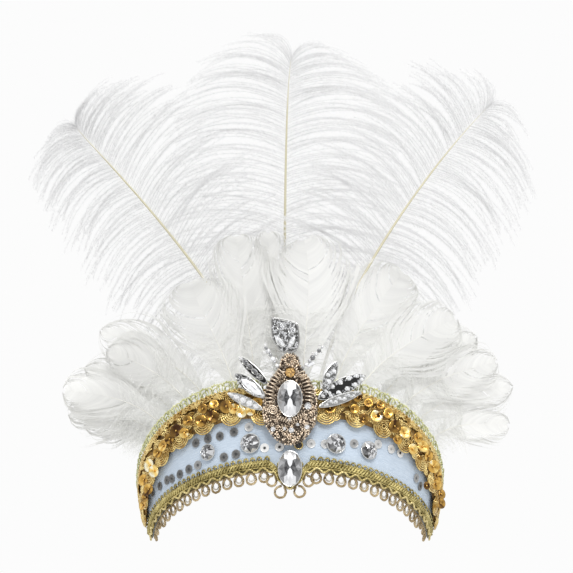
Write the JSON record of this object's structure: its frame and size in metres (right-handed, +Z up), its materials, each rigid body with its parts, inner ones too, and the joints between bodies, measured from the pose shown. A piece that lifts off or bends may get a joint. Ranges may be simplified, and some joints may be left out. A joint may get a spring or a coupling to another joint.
{
  "type": "feather headband",
  "caption": "Curved cloth headband with gold sequin braid, looped trims, a jewelled brooch and cut stones, and a fan of white goose feathers with tall ostrich plumes.",
  "frame": {"origin": "centre of the head opening, level with the band's two ends", "axes": "+Z up as worn, +X to the viewer's right, -Y towards the front"},
  "size_m": [0.3178, 0.1356, 0.3155],
  "materials": {
    "blue_cloth": "pale blue slubbed cloth over a stiff core",
    "gold_sequin": "gold sequins and metallic cord",
    "pale_gold_lace": "pale green-gold looped lace",
    "olive_gold_gimp": "olive-gold metallic gimp",
    "gold_cord": "tan-gold cord",
    "bronze_beadwork": "bronze bullion coil and seed beads",
    "crystal": "clear cut glass with a foiled back",
    "amber": "amber cut glass with a foiled back",
    "goose": "white goose feather",
    "ostrich": "white ostrich feather"
  },
  "bodies": {
    "root": {"amber_crystal": "amber", "band": "blue_cloth", "brooch_crystal": "crystal", "brooch_rosette": "bronze_beadwork", "brooch_setting": "bronze_beadwork", "drop_crystal": "crystal", "gimp_braid": "olive_gold_gimp", "goose_feather_centre_left": "goose", "goose_feather_centre_right": "goose", "goose_feather_left_1": "goose", "goose_feather_left_2": "goose", "goose_feather_left_3": "goose", "goose_feather_left_4": "goose", "goose_feather_left_5": "goose", "goose_feather_left_6": "goose", "goose_feather_left_7": "goose", "goose_feather_left_8": "goose", "goose_feather_right_1": "goose", "goose_feather_right_2": "goose", "goose_feather_right_3": "goose", "goose_feather_right_4": "goose", "goose_feather_right_5": "goose", "goose_feather_right_6": "goose", "lace_edging": "pale_gold_lace", "leaf_left_lower": "crystal", "leaf_left_middle": "crystal", "leaf_left_upper": "crystal", "leaf_right_lower": "crystal", "leaf_right_middle": "crystal", "leaf_right_upper": "crystal", "leaf_top": "crystal", "loop_fringe": "gold_cord", "ostrich_plume_centre": "ostrich", "ostrich_plume_left": "ostrich", "ostrich_plume_right": "ostrich", "round_crystal_left_inner": "crystal", "round_crystal_left_outer": "crystal", "round_crystal_right_inner": "crystal", "round_crystal_right_outer": "crystal", "sequin_braid": "gold_sequin", "sprig_left": "bronze_beadwork", "sprig_right": "bronze_beadwork", "top_stone_long_left": "crystal", "top_stone_long_right": "crystal", "top_stone_round_left": "crystal", "top_stone_round_right": "crystal"}
  },
  "joints": []
}
